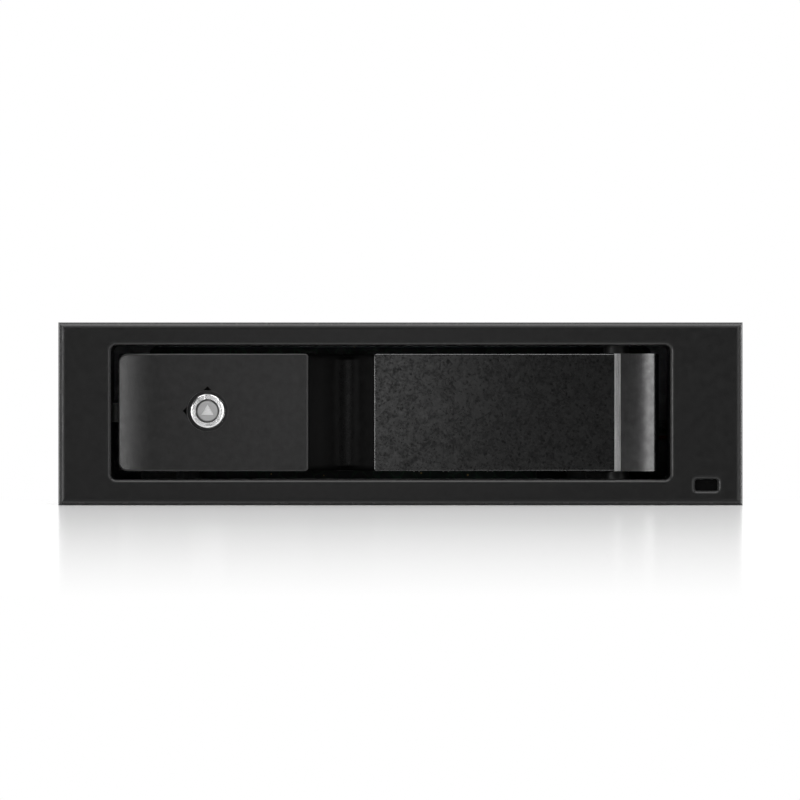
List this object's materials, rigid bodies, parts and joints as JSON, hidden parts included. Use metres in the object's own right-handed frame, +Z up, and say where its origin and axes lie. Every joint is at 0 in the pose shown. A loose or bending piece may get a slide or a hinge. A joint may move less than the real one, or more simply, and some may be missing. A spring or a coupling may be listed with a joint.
{
  "type": "hot swap drive cage",
  "caption": "Low black bay cage with a locking hinged door, finger scoop and metal handle plate; opening the door pushes the drive off its rear socket.",
  "frame": {"origin": "middle of the footprint, on the surface the cage stands on", "axes": "+Z up, +Y from the bezel to the rear, +X to the right as seen from the front"},
  "size_m": [0.149, 0.1796, 0.0398],
  "materials": {
    "bezel_plastic": "fine satin moulded black plastic",
    "door_plastic": "smooth moulded black plastic",
    "panel_plastic": "fine spark-eroded grain, black",
    "handle_metal": "black anodised, coarse grained",
    "bright_trim": "bright cut edge",
    "lock_metal": "polished plate",
    "lock_core_metal": "satin die-cast face",
    "zinc_sheet": "zinc plated sheet with a faint spangle",
    "rail_plastic": "moulded black plastic",
    "spring_steel": "bare spring steel",
    "screw_steel": "zinc plated",
    "pad_rubber": "soft black rubber",
    "board_green": "solder resist over glass laminate",
    "socket_plastic": "glass filled black plastic",
    "standoff_brass": "turned brass",
    "smoked_lens": "smoked light pipe",
    "ribbon_jacket": "grey flat lead",
    "bush_plastic": "dark bearing plastic",
    "catch_plastic": "hard black bearing plastic"
  },
  "bodies": {
    "cage": {"bezel": "bezel_plastic", "cage_pan": "zinc_sheet", "top_cover": "zinc_sheet", "left_drive_rail": "rail_plastic", "right_drive_rail": "rail_plastic", "rail_springs": "spring_steel", "rail_screws": "screw_steel", "hinge_bushes": "bush_plastic", "ejector_studs": "screw_steel", "backplane_board": "board_green", "board_standoffs": "standoff_brass", "board_screws": "screw_steel", "cover_screws": "screw_steel", "drive_socket": "socket_plastic", "data_port": "socket_plastic", "power_port": "socket_plastic", "light_pipe": "smoked_lens", "light_board": "board_green", "status_ribbon": "ribbon_jacket"},
    "door": {"door_body": "door_plastic", "lock_panel": "panel_plastic", "handle_plate": "handle_metal", "handle_trim": "bright_trim", "barrel_cover": "handle_metal", "panel_screws": "screw_steel", "hinge_pin": "spring_steel", "drive_bumpers": "pad_rubber", "lock_barrel": "lock_metal", "lock_nut": "standoff_brass", "catch_spring": "spring_steel", "catch_cover": "rail_plastic", "ejector_crank": "spring_steel"},
    "lock": {"lock_core": "lock_core_metal", "lock_cam": "spring_steel", "cam_screw": "screw_steel"},
    "catch": {"catch_bolt": "catch_plastic"},
    "ejector": {"ejector_bar": "zinc_sheet"}
  },
  "joints": [
    {"name": "door_swing", "type": "hinge", "parent": "cage", "child": "door", "pos_m": [0.0474, -0.079, 0.0202], "axis": [0, 0, 1], "range_deg": [0, 94]},
    {"name": "lock_turn", "type": "hinge", "parent": "door", "child": "lock", "pos_m": [-0.042, -0.0838, 0.0205], "axis": [0, -1, 0], "range_deg": [0, 90]},
    {"name": "catch_press", "type": "slide", "parent": "door", "child": "catch", "axis": [1, 0, 0], "range_m": [0, 0.0016], "stiffness_N_per_m": 400, "springref_m": -0.002, "deforming": ["catch_spring"]},
    {"name": "ejector_slide", "type": "slide", "parent": "cage", "child": "ejector", "axis": [0, -1, 0], "range_m": [0, 0.00951]}
  ],
  "couplings": [
    {"joint": "ejector_slide", "follows": "door_swing", "m_per_rad": 0.005795}
  ]
}
